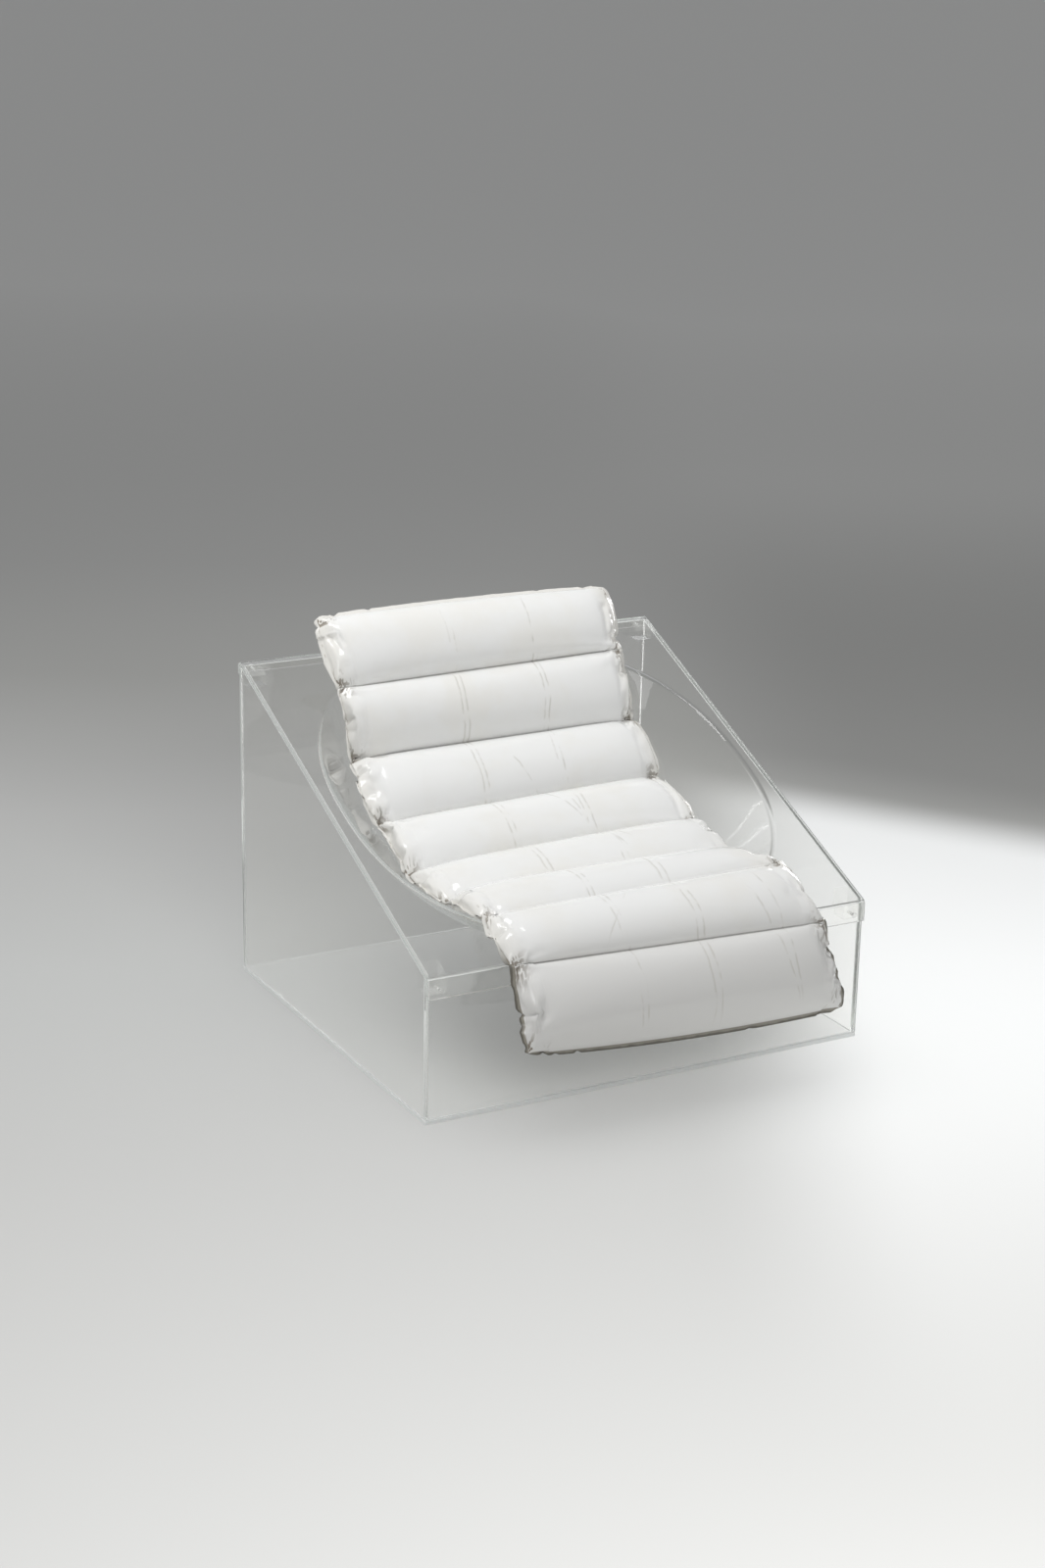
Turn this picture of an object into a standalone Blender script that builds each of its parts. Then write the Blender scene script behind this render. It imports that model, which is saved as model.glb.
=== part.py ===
"""Lounge chair: a case of clear sheet with a bowl formed in its sloping lid, and a loose channelled cushion.

Run it with blender --background --python part.py, or from Blender's text editor.
Metres, +Z up. The origin is on the floor under the middle of the case, and the sitter faces -Y.
"""
import math

import bmesh
import bpy
from mathutils import Vector

# Fits shared by the whole chair
gap = 0.0003
cut_overrun = 0.002

# Case: four panels on a base plate
case_width = 0.760
case_depth = 0.684
panel_thickness = 0.0065
base_thickness = 0.0065
sawn_edge_bevel = 0.0006

# Lid: one sheet, line-bent down over the front and the back panel
lid_thickness = 0.005
lid_front_height = 0.230
lid_back_height = 0.536
front_flange_drop = 0.033
back_flange_drop = 0.024
lid_bend_radius = 0.008
lid_bend_clearance = 0.0006

# Bowl drawn into the lid, with a squared-off round rim
bowl_side_margin = 0.019
bowl_front_margin = 0.0125
bowl_back_margin = 0.0245
bowl_depth = 0.190
bowl_rim_fillet = 0.011
bowl_squareness = 2.3

# Blocks in the four top corners, and the screw through each flange
block_width = 0.027
block_depth = 0.027
block_height = 0.028
screw_shank_radius = 0.002
screw_shank_length = 0.020
screw_head_radius = 0.005
screw_head_height = 0.0026
screw_head_crown_share = 0.45
screw_head_flat_share = 0.6
screw_tip_clearance = 0.001
screw_merge_distance = 0.00003
screw_below_front_edge = 0.020
screw_below_lid = 0.0007

# Cushion: two sheets welded round eight foam channels
cushion_width = 0.546
seam_draw = 0.008
channel_side_bulge = 0.006
channel_crown = 0.030
underside_crown = 0.026
cover_thickness = 0.0007
weld_flange = 0.004
core_side_inset = 0.008
core_seam_inset = 0.005
core_slack = 0.0016
hinge_clearance = 0.0004
bowl_clearance = 0.002
lid_clearance = 0.0006
channel_count = 8
crown_power = 3.0
side_power = 8.0

# Where each weld lies, from the head edge to the foot edge: along the slope as a share of the lid's slope,
# and above the lid's plane as a share of the bowl's depth. None rests on the lid by its own thickness.
seam_along_shares = (0.978, 0.831, 0.7145, 0.562, 0.400, 0.2466, 0.1054, -0.0536, -0.1863)
seam_height_shares = (0.446, 0.142, -0.274, -0.455, -0.4226, -0.2216, None, None, -0.322)

# How the soft pad lies askew: each weld's right-hand end, further back and higher, as shares of half the width
seam_back_shares = (0.0, 0.013, -0.022, 0.0, -0.007, -0.013, 0.0, -0.05, -0.02)
seam_rise_shares = (0.0, 0.015, 0.015, 0.022, 0.033, 0.0, 0.012, -0.015, -0.036)

# Fineness of the round shapes, as counts and as shares of a half width or half channel
points_across_lid = 20
points_along_lid = 18
bowl_rings = 10
fillet_rings = 3
bend_steps = 4
screw_sides = 16
sheet_sharp_angle = math.radians(35)
pad_sharp_angle = math.radians(60)
column_shares = (-1.0, -0.94, -0.82, -0.6, -0.2, 0.2, 0.6, 0.82, 0.94, 1.0)
row_shares = (-1.0, -0.8, -0.45, 0.0, 0.45, 0.8, 1.0)

# Worked out from the sizes above
lid_depth = case_depth + 2 * (lid_thickness + gap)
lid_front_y = -lid_depth / 2
slope_length = math.hypot(lid_depth, lid_back_height - lid_front_height)
slope_angle = math.atan2(lid_back_height - lid_front_height, lid_depth)
slope_sin = math.sin(slope_angle)
slope_cos = math.cos(slope_angle)
front_panel_y = -case_depth / 2
panel_inside_y = case_depth / 2 - panel_thickness
panel_inside_x = case_width / 2 - panel_thickness
wall_foot_z = base_thickness + gap
bowl_half_width = case_width / 2 - bowl_side_margin
bowl_half_length = (slope_length - bowl_front_margin - bowl_back_margin) / 2
bowl_centre_along = bowl_front_margin + bowl_half_length
bowl_radius = (bowl_half_width ** 2 + bowl_depth ** 2 - 2 * bowl_rim_fillet * bowl_depth) / (2 * bowl_depth)
bowl_wall_angle = math.asin(bowl_half_width / (bowl_radius + bowl_rim_fillet))
screw_x = panel_inside_x - gap - block_width / 2
front_screw_z = lid_front_height - screw_below_front_edge
back_hole_end_y = lid_depth / 2 - screw_shank_length - screw_tip_clearance
screw_hole_radius = screw_shank_radius + gap
foot_seam = 7
head_seam = 1


def clear_scene():
    for item in list(bpy.data.objects):
        bpy.data.objects.remove(item, do_unlink=True)


def make_material(name, colour, roughness, transmission=0.0, ior=1.5):
    material = bpy.data.materials.new(name)
    material.use_nodes = True
    shader = material.node_tree.nodes["Principled BSDF"]
    shader.inputs["Base Color"].default_value = (*colour, 1.0)
    shader.inputs["Roughness"].default_value = roughness
    shader.inputs["Metallic"].default_value = 0.0
    shader.inputs["Transmission Weight"].default_value = transmission
    shader.inputs["IOR"].default_value = ior
    return material


def add_empty(name, place, parent=None):
    empty = bpy.data.objects.new(name, None)
    bpy.context.collection.objects.link(empty)
    empty.parent = parent
    empty.location = place - (parent.matrix_world.translation if parent else Vector())
    bpy.context.view_layer.update()
    return empty


def add_piece(name, shape, material, parent):
    """Makes an object of a bmesh drawn in the chair's own frame, with its origin on its parent."""
    origin = parent.matrix_world.translation
    bmesh.ops.translate(shape, vec=-origin, verts=shape.verts)
    mesh = bpy.data.meshes.new(name)
    shape.to_mesh(mesh)
    shape.free()
    piece = bpy.data.objects.new(name, mesh)
    bpy.context.collection.objects.link(piece)
    piece.parent = parent
    if material:
        mesh.materials.append(material)
    return piece


def shade_round(piece, sharp_angle):
    piece.data.shade_smooth()
    piece.data.set_sharp_from_angle(angle=sharp_angle)


def add_bevel(piece, width):
    bevel = piece.modifiers.new("edges", "BEVEL")
    bevel.width = width
    bevel.segments = 1
    bevel.limit_method = "ANGLE"


def add_cut(piece, cutter):
    cut = piece.modifiers.new("screw_holes", "BOOLEAN")
    cut.operation = "DIFFERENCE"
    cut.solver = "EXACT"
    cut.object = cutter


def extruded(outline, left_x, right_x):
    """A solid whose side view is the outline of (y, z) points, from left_x to right_x."""
    shape = bmesh.new()
    corners = [shape.verts.new((left_x, y, z)) for y, z in outline]
    face = shape.faces.new(corners)
    far_side = bmesh.ops.extrude_face_region(shape, geom=[face])["geom"]
    moved = [item for item in far_side if isinstance(item, bmesh.types.BMVert)]
    bmesh.ops.translate(shape, vec=(right_x - left_x, 0, 0), verts=moved)
    bmesh.ops.recalc_face_normals(shape, faces=shape.faces)
    return shape


def box_outline(front_y, back_y, bottom_z, top_z):
    return [(front_y, bottom_z), (back_y, bottom_z), (back_y, top_z), (front_y, top_z)]


def lid_place(across, along, above):
    """A point given across the chair, along the slope from the lid's front edge, and above the lid."""
    y = lid_front_y + along * slope_cos - above * slope_sin
    z = lid_front_height + along * slope_sin + above * slope_cos
    return Vector((across, y, z))


def lid_underside_z(y):
    """Height of the lid's lower face at y, on its flat part."""
    top_z = lid_front_height + (y - lid_front_y) * math.tan(slope_angle)
    return top_z - lid_thickness / slope_cos


def rim_reach(angle):
    """Distance from the bowl's centre to its rim, in the lid's plane."""
    across = abs(math.cos(angle)) / bowl_half_width
    along = abs(math.sin(angle)) / bowl_half_length
    return (across ** bowl_squareness + along ** bowl_squareness) ** (-1 / bowl_squareness)


def bowl_profile():
    """Points from the bowl's bottom to its rim, as (share of the rim's reach, depth)."""
    points = []
    for step in range(bowl_rings + 1):
        turn = bowl_wall_angle * step / bowl_rings
        depth = bowl_radius * math.cos(turn) - (bowl_radius - bowl_depth)
        points.append((bowl_radius * math.sin(turn) / bowl_half_width, depth))
    for step in range(1, fillet_rings + 1):
        turn = bowl_wall_angle * (1 - step / fillet_rings)
        reach = bowl_half_width - bowl_rim_fillet * math.sin(turn)
        points.append((reach / bowl_half_width, bowl_rim_fillet * (1 - math.cos(turn))))
    return points


def bowl_depth_at(across, along):
    """Depth of the bowl below the lid's plane at a place on it, and zero outside the rim."""
    side = along - bowl_centre_along
    share = math.hypot(across, side) / rim_reach(math.atan2(side, across))
    if share >= 1:
        return 0.0
    reach = share * bowl_half_width
    if reach < bowl_radius * math.sin(bowl_wall_angle):
        return math.sqrt(bowl_radius ** 2 - reach ** 2) - (bowl_radius - bowl_depth)
    inward = bowl_half_width - reach
    return bowl_rim_fillet - math.sqrt(bowl_rim_fillet ** 2 - inward ** 2)


def make_panels(acrylic, root):
    """The base plate, and the four walls that stand on it: front and back run full width."""
    outline = box_outline(front_panel_y, -front_panel_y, 0, base_thickness)
    base = add_piece("base_plate", extruded(outline, -case_width / 2, case_width / 2), acrylic, root)
    front_top = lid_underside_z(front_panel_y) - gap - lid_bend_clearance
    outline = box_outline(front_panel_y, -panel_inside_y, wall_foot_z, front_top)
    front = add_piece("front_panel", extruded(outline, -case_width / 2, case_width / 2), acrylic, root)
    back_top = lid_underside_z(panel_inside_y) - gap - lid_bend_clearance
    outline = box_outline(panel_inside_y, -front_panel_y, wall_foot_z, back_top)
    back = add_piece("back_panel", extruded(outline, -case_width / 2, case_width / 2), acrylic, root)
    sides = []
    for name, side in (("left_side_panel", -1), ("right_side_panel", 1)):
        end_y = panel_inside_y - gap
        under_lid = gap / slope_cos
        outline = [
            (-end_y, wall_foot_z),
            (end_y, wall_foot_z),
            (end_y, lid_underside_z(end_y) - under_lid),
            (-end_y, lid_underside_z(-end_y) - under_lid),
        ]
        faces_x = sorted((side * panel_inside_x, side * case_width / 2))
        sides.append(add_piece(name, extruded(outline, *faces_x), acrylic, root))
    for panel in (base, front, back, *sides):
        add_bevel(panel, sawn_edge_bevel)
    return front, back


def bend_rows(tangent_along, end_turn):
    """Rows (along, above) round a bend, from the slope to the flange, whose normal turns to end_turn."""
    rows = []
    for step in range(1, bend_steps + 1):
        turn = slope_angle + (end_turn - slope_angle) * step / bend_steps
        off_slope = turn - slope_angle
        along = tangent_along - lid_bend_radius * math.sin(off_slope)
        above = lid_bend_radius * (math.cos(off_slope) - 1)
        rows.append((along, above))
    return rows


def flange_foot(edge_z, drop, y):
    """The flange's lower edge as (along, above)."""
    down = edge_z - drop - lid_front_height
    back = y - lid_front_y
    return back * slope_cos + down * slope_sin, down * slope_cos - back * slope_sin


def make_seat_shell(acrylic, root):
    """The lid with its bowl: rings from the bowl's bottom to the rim, then the flat, bends and flanges."""
    front_along = lid_bend_radius * math.tan((math.pi / 2 - slope_angle) / 2)
    back_along = slope_length - lid_bend_radius * math.tan((math.pi / 2 + slope_angle) / 2)
    half = case_width / 2
    shape = bmesh.new()

    def side_points(start, end, count):
        return [
            (start[0] + (end[0] - start[0]) * i / count, start[1] + (end[1] - start[1]) * i / count)
            for i in range(count)
        ]

    corners = [(half, front_along), (half, back_along), (-half, back_along), (-half, front_along)]
    edge = side_points(corners[0], corners[1], points_along_lid)
    edge += side_points(corners[1], corners[2], points_across_lid)
    edge += side_points(corners[2], corners[3], points_along_lid)
    edge += side_points(corners[3], corners[0], points_across_lid)
    angles = [math.atan2(along - bowl_centre_along, across) for across, along in edge]

    profile = bowl_profile()
    centre = shape.verts.new(lid_place(0, bowl_centre_along, -profile[0][1]))
    rings = []
    for share, depth in profile[1:]:
        ring = []
        for angle in angles:
            reach = share * rim_reach(angle)
            along = bowl_centre_along + reach * math.sin(angle)
            ring.append(shape.verts.new(lid_place(reach * math.cos(angle), along, -depth)))
        rings.append(ring)
    rings.append([shape.verts.new(lid_place(across, along, 0)) for across, along in edge])
    count = len(edge)
    for i in range(count):
        shape.faces.new((centre, rings[0][i], rings[0][(i + 1) % count]))
    for inner, outer in zip(rings, rings[1:]):
        for i in range(count):
            j = (i + 1) % count
            shape.faces.new((inner[i], outer[i], outer[j], inner[j]))

    outer = rings[-1]
    back_start = points_along_lid
    front_start = back_start + points_across_lid + points_along_lid
    back_side = outer[back_start:back_start + points_across_lid + 1]
    front_side = outer[front_start:] + outer[:1]
    front_rows = bend_rows(front_along, math.pi / 2)
    front_rows.append(flange_foot(lid_front_height, front_flange_drop, lid_front_y))
    back_rows = bend_rows(back_along, -math.pi / 2)
    back_rows.append(flange_foot(lid_back_height, back_flange_drop, -lid_front_y))
    for side, rows in ((back_side, back_rows), (front_side, front_rows)):
        last = side
        for along, above in rows:
            row = [shape.verts.new(lid_place(vert.co.x, along, above)) for vert in last]
            for i in range(len(row) - 1):
                shape.faces.new((last[i], row[i], row[i + 1], last[i + 1]))
            last = row
    lid = add_piece("seat_shell", shape, acrylic, root)
    shade_round(lid, sheet_sharp_angle)
    wall = lid.modifiers.new("sheet_thickness", "SOLIDIFY")
    wall.thickness = lid_thickness
    wall.offset = -1
    wall.use_even_offset = True
    return lid


def make_blocks(acrylic, root):
    """A block in each top corner of the case, cut to the lid's slope, that takes the screw."""
    blocks = []
    under_lid = gap / slope_cos
    for end_name, end in (("front", -1), ("back", 1)):
        wall_y = end * (panel_inside_y - gap)
        inner_y = wall_y - end * block_depth
        top_at_wall = lid_underside_z(wall_y) - under_lid
        bottom_z = top_at_wall - block_height
        near_y, far_y = sorted((wall_y, inner_y))
        outline = [
            (near_y, bottom_z),
            (far_y, bottom_z),
            (far_y, lid_underside_z(far_y) - under_lid),
            (near_y, lid_underside_z(near_y) - under_lid),
        ]
        for side_name, side in (("left", -1), ("right", 1)):
            wall_x = side * (panel_inside_x - gap)
            faces_x = sorted((wall_x, wall_x - side * block_width))
            name = f"corner_block_{end_name}_{side_name}"
            block = add_piece(name, extruded(outline, *faces_x), acrylic, root)
            add_bevel(block, sawn_edge_bevel)
            blocks.append(block)
    return blocks


def screw_places():
    """Each screw's name, the middle of its head's seat on the flange, and the way that it points."""
    places = []
    block_top_z = lid_underside_z(back_hole_end_y) - gap / slope_cos
    back_screw_z = block_top_z - screw_below_lid - screw_hole_radius
    for end_name, end, z in (("front", -1, front_screw_z), ("back", 1, back_screw_z)):
        for side_name, side in (("left", -1), ("right", 1)):
            seat = Vector((side * screw_x, end * lid_depth / 2, z))
            places.append((f"lid_screw_{end_name}_{side_name}", seat, -end))
    return places


def turned(profile, place, way):
    """A round solid from (radius, distance along the axis) points, turned about the Y direction."""
    shape = bmesh.new()
    verts = [shape.verts.new((radius, way * distance, 0)) for radius, distance in profile]
    edges = [shape.edges.new(pair) for pair in zip(verts, verts[1:])]
    bmesh.ops.spin(
        shape, geom=verts + edges, cent=(0, 0, 0), axis=(0, 1, 0),
        angle=2 * math.pi, steps=screw_sides, use_merge=True,
    )
    bmesh.ops.remove_doubles(shape, verts=shape.verts, dist=screw_merge_distance)
    bmesh.ops.recalc_face_normals(shape, faces=shape.faces)
    bmesh.ops.translate(shape, vec=place, verts=shape.verts)
    return shape


def make_hole_cutter(root):
    """The four screw holes, as one cutter."""
    cutter = bmesh.new()
    reach = screw_shank_length + screw_tip_clearance
    for _, seat, way in screw_places():
        profile = [(0, reach), (screw_hole_radius, reach), (screw_hole_radius, -cut_overrun), (0, -cut_overrun)]
        hole = turned(profile, seat, way)
        mesh = bpy.data.meshes.new("screw_hole")
        hole.to_mesh(mesh)
        hole.free()
        cutter.from_mesh(mesh)
        bpy.data.meshes.remove(mesh)
    piece = add_piece("screw_hole_cutter", cutter, None, root)
    piece.hide_render = True
    piece.display_type = "WIRE"
    return piece


def make_screws(nylon, root):
    """Pan-head screws that hold the lid's flanges to the case."""
    flat_radius = screw_head_radius * screw_head_flat_share
    crown_start = screw_head_height * screw_head_crown_share
    profile = [
        (0, screw_shank_length),
        (screw_shank_radius, screw_shank_length),
        (screw_shank_radius, -gap),
        (screw_head_radius, -gap),
        (screw_head_radius, -gap - crown_start),
        (flat_radius, -gap - screw_head_height),
        (0, -gap - screw_head_height),
    ]
    for name, seat, way in screw_places():
        screw = add_piece(name, turned(profile, seat, way), nylon, root)
        shade_round(screw, sheet_sharp_angle)


def seam_half_width(seam):
    """Half of the cushion's width at a weld: the welds between channels draw the sides in."""
    if seam in (0, channel_count):
        return cushion_width / 2
    return cushion_width / 2 - seam_draw


def seam_place(seam, share):
    """A point on a weld, at a share of its half width to the right of the middle."""
    height_share = seam_height_shares[seam]
    above = underside_crown + lid_clearance if height_share is None else height_share * bowl_depth
    place = lid_place(0, seam_along_shares[seam] * slope_length, above)
    askew = share * cushion_width / 2
    return place + Vector((0, seam_back_shares[seam] * askew, seam_rise_shares[seam] * askew))


def channel_axes(channel):
    """A channel's length from weld to weld, and the direction that its top faces."""
    upper = seam_place(channel - 1, 0)
    run = upper - seam_place(channel, 0)
    return run.length, Vector((0, -run.z, run.y)).normalized()


def row_list(first, last, seam_inset):
    """Rows down the cushion for the channels first to last, as (channel, share down it, half-channel share)."""
    rows = []
    for channel in range(first, last + 1):
        length, _ = channel_axes(channel)
        start = seam_inset
        end = seam_inset
        if channel == 1:
            start += weld_flange
        elif channel == first:
            start += hinge_clearance
        if channel == channel_count:
            end += weld_flange
        elif channel == last:
            end += hinge_clearance
        start_share = start / length
        end_share = 1 - end / length
        for share in row_shares:
            if share == -1 and channel > first and not seam_inset:
                continue
            rows.append((channel, start_share + (end_share - start_share) * (share + 1) / 2, share))
    return rows


def rest_on_lid(point, clearance):
    """Lifts a point of the underside off the lid, where the soft pad would press into it."""
    back = point.y - lid_front_y
    up = point.z - lid_front_height
    along = back * slope_cos + up * slope_sin
    above = up * slope_cos - back * slope_sin
    depth = bowl_depth_at(point.x, along)
    ease = min(1.0, depth / bowl_rim_fillet)
    floor = gap + bowl_clearance * ease + clearance - depth
    if along < 0 or above >= floor:
        return point
    return lid_place(point.x, along, floor)


def pad_point(channel, down, row_share, across_share, side_inset, flange_side, lift):
    """A point of the cushion: lift is its height off the middle plane, down and across are its place there."""
    half = seam_half_width(channel - 1) * (1 - down) + seam_half_width(channel) * down
    half += channel_side_bulge * (1 - row_share ** 2)
    across = across_share * (half - weld_flange - side_inset) + flange_side * weld_flange
    share = across / half
    middle = seam_place(channel - 1, share) * (1 - down) + seam_place(channel, share) * down
    middle.x = across
    middle = rest_on_lid(middle, cover_thickness + bowl_clearance)
    _, facing = channel_axes(channel)
    if row_share == 1 and channel < channel_count:
        facing = (facing + channel_axes(channel + 1)[1]).normalized()
    return middle + facing * lift


def pillow_share(row_share, across_share):
    return (1 - abs(row_share) ** crown_power) * (1 - abs(across_share) ** side_power)


def close_shell(shape, upper, lower):
    """Faces of two grids of points, split along the same diagonals, and closed round their edges."""
    rows = len(upper)
    columns = len(upper[0])
    for grid, flip in ((upper, False), (lower, True)):
        for i in range(rows - 1):
            for j in range(columns - 1):
                quad = [grid[i][j], grid[i + 1][j], grid[i + 1][j + 1], grid[i][j + 1]]
                if (i, j) in ((0, columns - 2), (rows - 2, 0)):
                    quad = quad[1:] + quad[:1]
                for half in ((quad[0], quad[1], quad[2]), (quad[0], quad[2], quad[3])):
                    shape.faces.new(reversed(half) if flip else half)
    border = [(0, j) for j in range(columns)]
    border += [(i, columns - 1) for i in range(1, rows)]
    border += [(rows - 1, j) for j in range(columns - 2, -1, -1)]
    border += [(i, 0) for i in range(rows - 2, 0, -1)]
    for (a, b), (c, d) in zip(border, border[1:] + border[:1]):
        if upper[a][b] is not lower[a][b]:
            shape.faces.new((upper[a][b], upper[c][d], lower[c][d], lower[a][b]))


def make_cover(name, first, last, side, vinyl, hinge):
    """One welded sheet over, or under, a run of channels: side is 1 for the top sheet and -1 for the under."""
    crown = (channel_crown if side > 0 else underside_crown) - cover_thickness - gap / 2
    shape = bmesh.new()
    columns = [(-1.0, -1)] + [(share, 0) for share in column_shares] + [(1.0, 1)]
    rows = row_list(first, last, 0)
    if first == 1:
        rows.insert(0, (1, 0.0, -1.0))
    if last == channel_count:
        rows.append((channel_count, 1.0, 1.0))
    outer = []
    inner = []
    for channel, down, row_share in rows:
        outer.append([])
        inner.append([])
        for across_share, flange_side in columns:
            rise = gap / 2 + crown * pillow_share(row_share, across_share)
            for grid, lift, clearance in ((outer, rise + cover_thickness, 0), (inner, rise, cover_thickness)):
                point = pad_point(channel, down, row_share, across_share, 0, flange_side, side * lift)
                if side < 0:
                    point = rest_on_lid(point, clearance)
                grid[-1].append(shape.verts.new(point))
    if side > 0:
        close_shell(shape, outer, inner)
    else:
        close_shell(shape, inner, outer)
    cover = add_piece(name, shape, vinyl, hinge)
    shade_round(cover, pad_sharp_angle)


def make_core(channel, foam, hinge):
    """The foam filling of one channel, a closed pillow a little smaller than its cover."""
    shape = bmesh.new()
    rows = row_list(channel, channel, core_seam_inset)
    grids = {1: [], -1: []}
    for _, down, row_share in rows:
        border_row = abs(row_share) == 1
        upper_row = []
        lower_row = []
        for across_share in column_shares:
            shares = (channel, down, row_share, across_share, core_side_inset, 0)
            fill = pillow_share(row_share, across_share)
            top = pad_point(*shares, (channel_crown - cover_thickness - gap / 2 - core_slack) * fill)
            vert = shape.verts.new(top)
            upper_row.append(vert)
            if border_row or abs(across_share) == 1:
                lower_row.append(vert)
                continue
            under = pad_point(*shares, -(underside_crown - cover_thickness - gap / 2 - core_slack) * fill)
            lower_row.append(shape.verts.new(rest_on_lid(under, cover_thickness + core_slack)))
        grids[1].append(upper_row)
        grids[-1].append(lower_row)
    close_shell(shape, grids[1], grids[-1])
    core = add_piece(f"foam_core_{channel}", shape, foam, hinge)
    shade_round(core, pad_sharp_angle)


def build_chair():
    clear_scene()
    acrylic = make_material("clear_acrylic", (0.95, 0.97, 0.96), 0.03, transmission=1.0, ior=1.49)
    nylon = make_material("natural_nylon", (0.80, 0.80, 0.77), 0.35, transmission=0.4, ior=1.53)
    vinyl = make_material("white_vinyl", (0.78, 0.78, 0.76), 0.22)
    foam = make_material("white_foam", (0.74, 0.72, 0.66), 0.95)

    root = add_empty("case", Vector())
    front_panel, back_panel = make_panels(acrylic, root)
    seat_shell = make_seat_shell(acrylic, root)
    blocks = make_blocks(acrylic, root)
    cutter = make_hole_cutter(root)
    for piece in (front_panel, back_panel, seat_shell, *blocks):
        add_cut(piece, cutter)
    make_screws(nylon, root)

    cushion = add_empty("cushion", seam_place(foot_seam - 1, 0), root)
    head = add_empty("head", seam_place(head_seam, 0), cushion)
    foot = add_empty("front_flap", seam_place(foot_seam, 0), cushion)
    runs = (
        ("head", 1, head_seam, head),
        ("seat", head_seam + 1, foot_seam, cushion),
        ("front", foot_seam + 1, channel_count, foot),
    )
    for run_name, first, last, hinge in runs:
        make_cover(f"cover_top_{run_name}", first, last, 1, vinyl, hinge)
        make_cover(f"cover_under_{run_name}", first, last, -1, vinyl, hinge)
        for channel in range(first, last + 1):
            make_core(channel, foam, hinge)


build_chair()
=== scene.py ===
"""The lounge chair as photographed: a clear acrylic case with a drawn bowl, and a white vinyl cushion."""
import math

import bmesh
import bpy
from mathutils import Matrix, Vector, noise


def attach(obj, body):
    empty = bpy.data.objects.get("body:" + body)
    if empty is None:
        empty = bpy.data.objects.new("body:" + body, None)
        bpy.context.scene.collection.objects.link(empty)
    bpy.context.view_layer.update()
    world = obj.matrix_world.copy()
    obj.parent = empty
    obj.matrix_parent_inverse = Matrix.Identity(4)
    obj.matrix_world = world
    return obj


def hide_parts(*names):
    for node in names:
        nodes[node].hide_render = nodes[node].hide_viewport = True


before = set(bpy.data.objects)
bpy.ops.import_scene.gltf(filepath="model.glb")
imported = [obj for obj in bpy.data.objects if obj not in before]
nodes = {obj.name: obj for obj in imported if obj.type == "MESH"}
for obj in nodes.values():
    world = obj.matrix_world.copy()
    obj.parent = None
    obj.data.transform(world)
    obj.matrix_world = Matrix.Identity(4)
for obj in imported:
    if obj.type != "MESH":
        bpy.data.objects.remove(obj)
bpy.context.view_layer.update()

# Camera: a long lens, a little above the chair's head end, looking down at its left front corner.
# It stands 4 m away, so the case narrows only slightly towards its back.
camera_place = Vector((-1.93499, -3.46317, 1.62208))
camera_yaw = math.radians(28.654)
camera_pitch = math.radians(17.493)
camera_roll = math.radians(1.063)
camera_lens_mm = 60.15
camera_sensor_mm = 36.0

forward = Vector((
    math.sin(camera_yaw) * math.cos(camera_pitch),
    math.cos(camera_yaw) * math.cos(camera_pitch),
    -math.sin(camera_pitch),
))
level_right = Vector((math.cos(camera_yaw), -math.sin(camera_yaw), 0))
level_up = level_right.cross(forward)
camera_right = math.cos(camera_roll) * level_right + math.sin(camera_roll) * level_up
camera_up = math.cos(camera_roll) * level_up - math.sin(camera_roll) * level_right
camera_data = bpy.data.cameras.new("camera")
camera_data.lens = camera_lens_mm
camera_data.sensor_width = camera_sensor_mm
camera_data.clip_end = 400
camera = bpy.data.objects.new("camera", camera_data)
bpy.context.scene.collection.objects.link(camera)
camera.matrix_world = Matrix.Translation(camera_place) @ Matrix(
    (camera_right, camera_up, -forward)
).transposed().to_4x4()
bpy.context.scene.camera = camera
bpy.context.scene.view_settings.view_transform = "Standard"


# Studio floor: one very large sheet of matt painted paper, so that it fills the view from every side. It is
# pale in front of the chair and grey behind it, which is painted light falloff, with a painted pool of light
# on its right.
floor_half_width = 160.0
floor_clearance = 0.0004
floor_roughness = 0.9
floor_shine = 0.1
# The paint's colours along a stretch from the camera's side of the chair to far behind it, as shares of it.
floor_tone_start = -1.6
floor_tone_end = 9.0
# These tones are painted light falloff: pale near the chair, grey further behind it.
painted_falloff_tones = (
    (0.01, "#bfbfbd"), (0.094, "#c2c2c0"), (0.16, "#c6c7c5"), (0.236, "#c2c2c0"), (0.33, "#afafac"),
    (0.434, "#adadab"), (1.0, "#c6c6c4"),
)
# A painted pool of light on the floor to the right of the chair.
floor_painted_light_pool = "#fbfcfb"
# Painted shade on the floor far behind the chair on its right.
floor_painted_shade = "#939391"
floor_slant = 0.5
# Where the tones lie, in metres behind the chair, to the right of it, or on a slant between the two.
# sooner brings the painted falloff on sooner, dusk is painted shade, and pool is a painted pool of light.
floor_zones = {
    "sooner": (("beside", 0.7, -0.1), ("behind", 1.2, 0.5)),
    "dusk": (("beside", 0.75, -0.1), ("slanting", 1.7, 1.2), ("behind", 1.8, 4.5)),
    "pool": (("beside", 0.55, 0.2), ("slanting", 1.17, 1.45), ("behind", 0.3, -1.4)),
}


def linear(hex_colour):
    """An sRGB hex colour as linear red, green, blue and 1."""
    shares = [int(hex_colour[i:i + 2], 16) / 255 for i in (1, 3, 5)]
    return (*(s / 12.92 if s <= 0.04045 else ((s + 0.055) / 1.055) ** 2.4 for s in shares), 1.0)


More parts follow.
